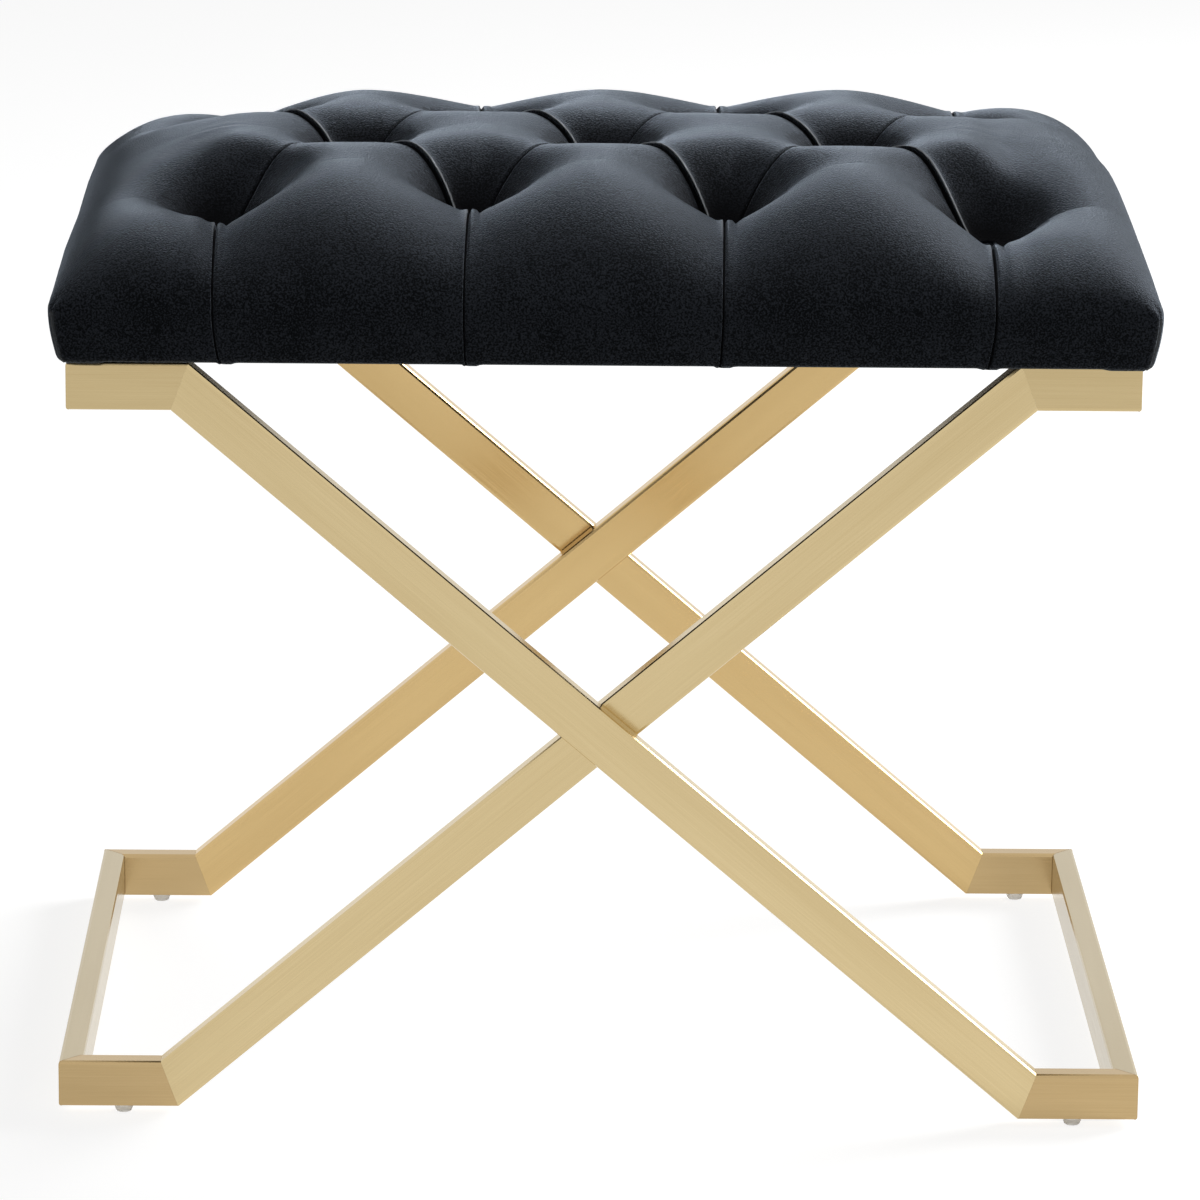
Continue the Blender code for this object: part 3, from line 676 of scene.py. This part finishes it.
# The four corner squares of the sheet are cut out, and the cut edges sewn together
corner_square = (past_side > 0) & (past_front > 0)
pick_faces(cover, lambda face: bool(corner_square[list(face.vertices)].any()))
bpy.ops.mesh.delete(type="FACE")
bpy.ops.mesh.select_mode(type="VERT")
bpy.ops.mesh.select_all(action="SELECT")
bpy.ops.mesh.remove_doubles(threshold=WELD_DISTANCE)
bpy.ops.mesh.normals_make_consistent(inside=False)
bpy.ops.object.mode_set(mode="OBJECT")

# Stuffing: pressure from inside swells the panels while the pleats and the hem hold
STUFFING_PRESSURE = 4
CLOTH_POINT_MASS = 0.02
STUFFING_FRAMES = 20
SWELL_LIMIT = 0.0080
laid_out = points_of(cover)
stuffing = cover.modifiers.new("stuffing", "CLOTH")
stuffing.settings.vertex_group_mass = stitched.name
stuffing.settings.mass = CLOTH_POINT_MASS
stuffing.settings.use_pressure = True
stuffing.settings.uniform_pressure_force = STUFFING_PRESSURE
stuffing.settings.effector_weights.gravity = 0
for step in range(1, STUFFING_FRAMES + 1):
    bpy.context.scene.frame_set(step)
bpy.ops.object.modifier_apply(modifier=stuffing.name)
swell = points_of(cover) - laid_out
amount = np.linalg.norm(swell, axis=1)
swell *= (SWELL_LIMIT * np.tanh(amount / SWELL_LIMIT) / np.maximum(amount, WELD_DISTANCE))[:, None]
move_points(cover, laid_out + swell)
bpy.context.scene.frame_set(1)

smoothing = cover.modifiers.new("smoothing", "SUBSURF")
smoothing.levels = 1
smoothing.render_levels = 1
bpy.ops.object.modifier_apply(modifier=smoothing.name)
bpy.ops.object.shade_smooth()

# Folds: the section of a pleat in millimetres, from the lower side through the slot to the rolled upper side
FOLD_OFF = (-9.0, -6.0, -4.0, -2.8, -1.8, -0.9, -0.3, 0.2, 0.6, 1.0, 1.5, 2.2, 3.2, 5.0, 7.0)
ROLLED_SHIFT = (0.0, 0.0, 0.0, 0.0, 0.0, 0.0, 0.0, -0.5, -1.3, -1.8, -1.8, -1.3, -0.7, -0.2, 0.0)
ROLLED_RISE = (0.0, -0.1, -0.5, -1.1, -2.0, -2.9, -3.2, -2.0, 0.2, 1.4, 1.5, 0.9, 0.2, 0.0, 0.0)
NARROW_SHIFT = (0.0, 0.0, 0.0, 0.0, 0.0, 0.0, 0.0, -0.2, -0.5, -0.7, -0.7, -0.5, -0.3, -0.1, 0.0)
NARROW_RISE = (0.0, 0.0, 0.1, 0.2, 0.1, -1.4, -3.0, -2.6, -0.6, 0.5, 0.6, 0.4, 0.2, 0.0, 0.0)
FOLD_FADE = 0.0100
# A pale colour is painted along the rolled edge as highlight, and beside an edge pleat the cloth lies double
# near the tuft
LIP_OFF = (0.9, 1.2, 1.5, 1.8)
LIP_HIGHLIGHT = (0.0, 1.0, 1.0, 0.0)
STRIP_OFF = (-8.5, -7.0, -5.8, -4.6, -1.6, -0.7, 0.5, 1.2, 2.4, 3.6)
STRIP_RISE = (0.0, -0.6, -1.2, 1.0, 1.3, 0.0, 0.0, 0.9, 0.7, 0.0)
STRIP_FULL = 0.0380  # full as far as this from the tuft
STRIP_LENGTH = 0.0800
# At the bottom the folded cloth hangs a little lower, and so it does at the corners, which are sewn upright
HEM_DROP_OFF = (-8.0, -6.5, 1.5, 2.5)
HEM_DROP = (0.0, 0.8, 0.8, 0.0)
CORNER_SEAM_OFF = (0.0, 0.5, 1.2, 2.2, 4.0, 7.0)
CORNER_SEAM_RISE = (-1.4, -1.0, 0.2, 0.5, 0.2, 0.0)
# painted highlight beside the corner seam
CORNER_SEAM_HIGHLIGHT = (0.0, 0.1, 0.4, 0.1, 0.0, 0.0)
CORNER_DROP_OFF = (0.0, 22.0, 24.0)
CORNER_DROP = (0.8, 0.8, 0.0)
MILLIMETRE = 0.001
SLOT_DEPTH = 0.003
HEM_SHOWN = 2  # how soon the drop fades above and below the bottom edge


def section(off, places, rises):
    """Rise of a fold's section, or its shift, at distances off its line."""
    return np.interp(off / MILLIMETRE, places, rises) * MILLIMETRE


flat_places = points_of(cover)
away_from_seat = normals_of(cover)
folded = flat_places.copy()
layout_values = np.zeros(3 * len(flat_places))
cover.data.attributes["layout"].data.foreach_get("vector", layout_values)
even_plan = layout_values.reshape(-1, 3)[:, :2]
turned = layout_values.reshape(-1, 3)[:, 2]
_, _, pit_share = seat_height(even_plan)
# Shares of painted shade in the pits and fold slots, and of a painted highlight along rolled edges and
# corner seams
slot_share = np.zeros(len(flat_places))
highlight_share = np.zeros(len(flat_places))
at_hem = np.clip(1 - HEM_SHOWN * np.abs(turned - SIDE_CELLS), 0, 1)
above_hem = np.clip(SIDE_CELLS + 1 - turned, 0, 1)
fold_way = away_from_seat.copy()
fold_way[:, 2] *= 1 - at_hem  # a fold doesn't draw the bottom edge up
for pleat in pleats:
    run, off, to_tuft, length, across = beside(pleat, even_plan)
    fold = pleat["fold"] * np.clip((to_tuft - BUTTON_SEAT) / FOLD_FADE, 0, 1)
    fold *= above_hem * (np.abs(off) < FOLD_OFF[-1] * MILLIMETRE * 2)
    fold *= run < length + MILLIMETRE
    fold_shift, fold_rise = (ROLLED_SHIFT, ROLLED_RISE) if pleat["rolled"] else (NARROW_SHIFT, NARROW_RISE)
    shift = section(off, FOLD_OFF, fold_shift) * fold
    lift = section(off, FOLD_OFF, fold_rise) * fold
    slot_share = np.maximum(slot_share, np.clip(-lift / SLOT_DEPTH, 0, 1))
    # a painted highlight along the rolled edge
    lip = np.interp(off / MILLIMETRE, LIP_OFF, LIP_HIGHLIGHT) * np.clip(fold, 0, 1) * pleat["lip"]
    if pleat["to_edge"]:
        near_tuft = np.clip((STRIP_LENGTH - run) / (STRIP_LENGTH - STRIP_FULL), 0, 1)
        lip *= near_tuft
        lift += section(off, STRIP_OFF, STRIP_RISE) * fold * near_tuft
        folded[:, 2] -= section(off, HEM_DROP_OFF, HEM_DROP) * at_hem * (run > 0)
    folded[:, :2] += shift[:, None] * across
    folded += lift[:, None] * fold_way
    highlight_share = np.maximum(highlight_share, lip)
from_corner = np.max(np.array((full_width, full_depth)) - np.abs(even_plan), axis=1)
seam_shown = above_hem * (turned > 0)
seam_lift = section(from_corner, CORNER_SEAM_OFF, CORNER_SEAM_RISE) * seam_shown
folded += seam_lift[:, None] * away_from_seat
folded[:, 2] -= section(from_corner, CORNER_DROP_OFF, CORNER_DROP) * at_hem
seam_highlight = np.interp(from_corner / MILLIMETRE, CORNER_SEAM_OFF, CORNER_SEAM_HIGHLIGHT) * seam_shown
highlight_share = np.maximum(highlight_share, seam_highlight)
move_points(cover, folded)
for name, share in (("pressed", np.maximum(pit_share, slot_share)), ("painted_highlight", highlight_share)):
    cover.data.attributes.new(name, "FLOAT", "POINT")
    cover.data.attributes[name].data.foreach_set("value", share)

# Underneath, the turned-in cloth closes round the board, clear of it by a hair
BOARD_CLEARANCE = 0.0003
board_low, board_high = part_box("seat_board")


def extrude_loop(lift, spread=(1, 1, 1)):
    """Draws the selected loop out into a new band."""
    extrude((0, 0, lift))
    bpy.ops.transform.resize(value=spread, center_override=(0, 0, 0))


hem_half_width = full_width - SEAT_BULGE - HEM
hem_half_depth = full_depth - SEAT_BULGE - HEM
to_board_side = (
    (board_high.x + BOARD_CLEARANCE) / hem_half_width,
    (board_high.y + BOARD_CLEARANCE) / hem_half_depth,
    1,
)
bpy.ops.object.mode_set(mode="EDIT")
bpy.ops.mesh.select_mode(type="EDGE")
bpy.ops.mesh.select_all(action="DESELECT")
bpy.ops.mesh.select_non_manifold()
extrude_loop(board_low.z - BOARD_CLEARANCE - seat_bottom)
extrude_loop(0, to_board_side)
extrude_loop(board_high.z - board_low.z + 2 * BOARD_CLEARANCE)
bpy.ops.mesh.edge_face_add()
bpy.ops.object.mode_set(mode="OBJECT")

# Its pile is nearly black seen straight on and silvery along the surface. Towards the pits and into the fold
# slots its colour is darkened and its sheen weakened as painted shade, and a pale colour is painted along
# the rolled edges and corner seams as highlight.
VELVET_DARK = (0.003, 0.004, 0.005, 1)
VELVET_LIGHT = (0.055, 0.063, 0.078, 1)
# painted shade in the pits and fold slots
VELVET_HOLLOW_SHADE = (0.003, 0.003, 0.004, 1)
VELVET_HIGHLIGHT_COLOUR = (0.80, 0.84, 0.88, 1)  # painted highlight on the rolled edge of a fold and beside the corner seams
VELVET_SHEEN = (0.74, 0.85, 1.0, 1)
VELVET_SPAN = (0.56, 0.78)
VELVET_ROUGHNESS = 0.9
VELVET_SPECULAR = 0.1
SHEEN_ROUGHNESS = 0.35
PILE_PER_METRE = 1000
PILE_DETAIL = 1
PILE_HEIGHT = 0.0006
PILE_STRENGTH = 0.9
NAP_PER_METRE = 28  # cloudy patches where the pile leans one way
NAP_DETAIL = 4
NAP_SHARE = 0.3
SHEEN_STEPS = (1.0, 0.62, 0.30, 0.04)  # sheen of the open surface, then weaker and weaker sheen towards the pits and fold slots, as painted shade
HOLLOW_SHADE_STEPS = (0.15, 0.25, 0.38)  # share of painted shade where the next step begins
HOLLOW_SHADE_FULL = 0.5  # share of painted shade where the colour is at its darkest
velvet, velvet_nodes, velvet_links, velvet_shader = new_material("black_velvet")
velvet_shader.inputs["Roughness"].default_value = VELVET_ROUGHNESS
velvet_shader.inputs["Specular IOR Level"].default_value = VELVET_SPECULAR
velvet_shader.inputs["Sheen Weight"].default_value = 1
velvet_shader.inputs["Sheen Roughness"].default_value = SHEEN_ROUGHNESS
velvet_shader.inputs["Sheen Tint"].default_value = VELVET_SHEEN
velvet_coords = velvet_nodes.new("ShaderNodeTexCoord")
pile = velvet_nodes.new("ShaderNodeTexNoise")
pile.inputs["Scale"].default_value = PILE_PER_METRE
pile.inputs["Detail"].default_value = PILE_DETAIL
velvet_links.new(velvet_coords.outputs["Object"], pile.inputs["Vector"])
nap = velvet_nodes.new("ShaderNodeTexNoise")
nap.inputs["Scale"].default_value = NAP_PER_METRE
nap.inputs["Detail"].default_value = NAP_DETAIL
velvet_links.new(velvet_coords.outputs["Object"], nap.inputs["Vector"])
pile_and_nap = velvet_nodes.new("ShaderNodeMath")
pile_and_nap.operation = "MULTIPLY_ADD"
pile_and_nap.inputs[1].default_value = NAP_SHARE
velvet_links.new(nap.outputs["Fac"], pile_and_nap.inputs[0])
velvet_links.new(pile.outputs["Fac"], pile_and_nap.inputs[2])
velvet_tone = two_toned(
    velvet_nodes, velvet_links, pile_and_nap.outputs[0], VELVET_LIGHT, VELVET_DARK, VELVET_SPAN
)
# Painted shade: the colour darkens towards the pits and into the fold slots
pressed_pile = velvet_nodes.new("ShaderNodeAttribute")
pressed_pile.attribute_name = "pressed"
velvet_shade = velvet_nodes.new("ShaderNodeMix")
velvet_shade.data_type = "RGBA"
velvet_shade.inputs["B"].default_value = VELVET_HOLLOW_SHADE
hollow_shade_level = velvet_nodes.new("ShaderNodeMapRange")
hollow_shade_level.inputs["From Max"].default_value = HOLLOW_SHADE_FULL
velvet_links.new(pressed_pile.outputs["Fac"], hollow_shade_level.inputs["Value"])
velvet_links.new(hollow_shade_level.outputs["Result"], velvet_shade.inputs["Factor"])
velvet_links.new(velvet_tone, velvet_shade.inputs["A"])
# Painted highlight: a pale colour along the rolled fold edges and beside the corner seams
highlight_attribute = velvet_nodes.new("ShaderNodeAttribute")
highlight_attribute.attribute_name = "painted_highlight"
velvet_highlights = velvet_nodes.new("ShaderNodeMix")
velvet_highlights.data_type = "RGBA"
velvet_highlights.inputs["B"].default_value = VELVET_HIGHLIGHT_COLOUR
velvet_links.new(highlight_attribute.outputs["Fac"], velvet_highlights.inputs["Factor"])
velvet_links.new(velvet_shade.outputs["Result"], velvet_highlights.inputs["A"])
velvet_links.new(velvet_highlights.outputs["Result"], velvet_shader.inputs["Base Color"])
raise_grain(velvet_nodes, velvet_links, velvet_shader, pile.outputs["Fac"], PILE_HEIGHT, PILE_STRENGTH)
# Faces nearer the pits and fold slots get copies with weaker sheen, as painted shade
for step, sheen in enumerate(SHEEN_STEPS):
    sheen_step_copy = velvet.copy()
    sheen_step_copy.name = f"black_velvet_pressed_{step}"
    sheen_step_copy.node_tree.nodes["Principled BSDF"].inputs["Sheen Weight"].default_value = sheen
    cover.data.materials.append(sheen_step_copy)
pressed_share = np.zeros(len(cover.data.vertices))
cover.data.attributes["pressed"].data.foreach_get("value", pressed_share)
for face in cover.data.polygons:
    face.material_index = int(np.searchsorted(HOLLOW_SHADE_STEPS, pressed_share[list(face.vertices)].mean()))
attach(cover, "root")
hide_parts("velvet_cover", "foam_pad")

# Tuft ties: in each pit a domed button covered in the same velvet, drawn down by waxed twine.
# The twine runs through the board and is held under it by a flat toggle.
BUTTON_RADIUS = 0.0055
BUTTON_EDGE = 0.0016
BUTTON_DOME = 0.0012
DOME_RISES = (2 / 3, 1 / 3)  # share of the dome's height that each ring adds
DOME_RING = BUTTON_RADIUS / 3
TWINE_RADIUS = 0.0010
TOGGLE_RADIUS = 0.0040
TOGGLE_THICKNESS = 0.0014
BUTTON_SIDES = 24
TWINE_PALE = (0.62, 0.56, 0.44, 1)
TWINE_DULL = (0.45, 0.40, 0.30, 1)
twine = mottled("waxed_twine", TWINE_PALE, TWINE_DULL, per_metre=900, roughness=0.6, bump_height=0.0001)
for tuft, hole in tufts.items():
    pit_floor = seat_height(hole[None])[0][0] + BOARD_CLEARANCE
    top = Vector((hole[0] + stray_of(hole[None])[0], hole[1], pit_floor))
    button_middle = top + Vector((0, 0, BUTTON_EDGE / 2))
    bpy.ops.object.select_all(action="DESELECT")
    bpy.ops.mesh.primitive_cylinder_add(
        vertices=BUTTON_SIDES, radius=BUTTON_RADIUS, depth=BUTTON_EDGE, location=button_middle
    )
    tie = bpy.context.object
    tie.name = f"button_and_twine_{tuft}"
    bpy.ops.object.transform_apply(location=True, rotation=False, scale=False)
    pick_faces(tie, lambda face: face.normal.z > LEVEL)
    bpy.ops.mesh.bevel(offset=BUTTON_EDGE / 2, segments=SMALL_ROUNDING_STEPS, affect="EDGES")
    for rise in DOME_RISES:
        bpy.ops.mesh.inset(thickness=DOME_RING)
        bpy.ops.transform.translate(value=(0, 0, BUTTON_DOME * rise))
    pick_faces(tie, lambda face: face.normal.z < -LEVEL)
    bpy.ops.mesh.inset(thickness=BUTTON_RADIUS - TWINE_RADIUS)
    extrude((hole[0] - top.x, 0, board_high.z - top.z))
    extrude((0, 0, board_low.z - BOARD_CLEARANCE - board_high.z))
    extrude((0, 0, 0))
    flange = TOGGLE_RADIUS / TWINE_RADIUS
    bpy.ops.transform.resize(value=(flange, flange, 1), center_override=(*hole, board_low.z))
    extrude((0, 0, -TOGGLE_THICKNESS))
    bpy.ops.mesh.bevel(offset=TOGGLE_THICKNESS / 4, segments=SMALL_ROUNDING_STEPS, affect="EDGES")
    bpy.ops.object.mode_set(mode="OBJECT")
    bpy.ops.object.shade_smooth_by_angle(angle=SMOOTH_ANGLE)
    tie.data.materials.append(velvet)
    tie.data.materials.append(twine)
    for face in tie.data.polygons:
        face.material_index = int(face.center.z < pit_floor - WELD_DISTANCE)
    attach(tie, "root")
    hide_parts(f"tuft_tie_{tuft}")

# Dust cloth: thin black non-woven cloth over the hole in the hem, cut to fit inside the frame.
# It is stretched under the board and stapled round its edge, so it sags a little in the middle.
CLOTH_SAG = 0.0012
CLOTH_THICKNESS = 0.0003
CLOTH_PUCKER = 0.0002  # fall of the edge between staples
STAPLE_STEP = 0.0410
CLOTH_CELLS = (104, 72)
CLOTH_GREY = (0.028, 0.028, 0.030, 1)
CLOTH_BLACK = (0.010, 0.010, 0.011, 1)
cloth_low, cloth_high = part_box("dust_cover")
bpy.ops.object.select_all(action="DESELECT")
cells_along, cells_across = CLOTH_CELLS
bpy.ops.mesh.primitive_grid_add(x_subdivisions=cells_along, y_subdivisions=cells_across, size=2)
dust_cloth = bpy.context.object
dust_cloth.name = "dust_cloth"
laid = points_of(dust_cloth)
from_edge = (1 - np.abs(laid[:, 0])) * cloth_high.x
from_edge = np.minimum(from_edge, (1 - np.abs(laid[:, 1])) * cloth_high.y)
laid[:, 2] = cloth_low.z - CLOTH_SAG * (1 - laid[:, 0] ** 2) * (1 - laid[:, 1] ** 2)
laid[:, 0] *= cloth_high.x
laid[:, 1] *= cloth_high.y
pucker = np.prod(np.sin(np.pi * laid[:, :2] / STAPLE_STEP) ** 2, axis=1)
laid[:, 2] -= CLOTH_PUCKER * pucker * np.clip(1 - from_edge / STAPLE_STEP, 0, 1)
move_points(dust_cloth, laid)
thickness = dust_cloth.modifiers.new("thickness", "SOLIDIFY")
thickness.thickness = CLOTH_THICKNESS
thickness.offset = 1
bpy.ops.object.modifier_apply(modifier=thickness.name)
bpy.ops.object.shade_smooth_by_angle(angle=SMOOTH_ANGLE)
cambric = mottled("dust_cloth", CLOTH_GREY, CLOTH_BLACK, per_metre=1100, roughness=0.95, bump_height=0.0003)
dust_cloth.data.materials.append(cambric)
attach(dust_cloth, "root")
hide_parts("dust_cover")

# Seat screws: zinc-plated steel with pan heads, two in each top rail.
# They are driven up through the rails into the board, and hold the seat down on the frame.
ZINC_PALE = (0.62, 0.62, 0.60, 1)
ZINC_DULL = (0.48, 0.48, 0.47, 1)
zinc = mottled("zinc_plate", ZINC_PALE, ZINC_DULL, per_metre=700, roughness=0.35, bump_height=0.00002)
zinc.node_tree.nodes["Principled BSDF"].inputs["Metallic"].default_value = 1
for name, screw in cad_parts.items():
    if name.endswith("screw"):
        screw.data.materials.clear()
        screw.data.materials.append(zinc)
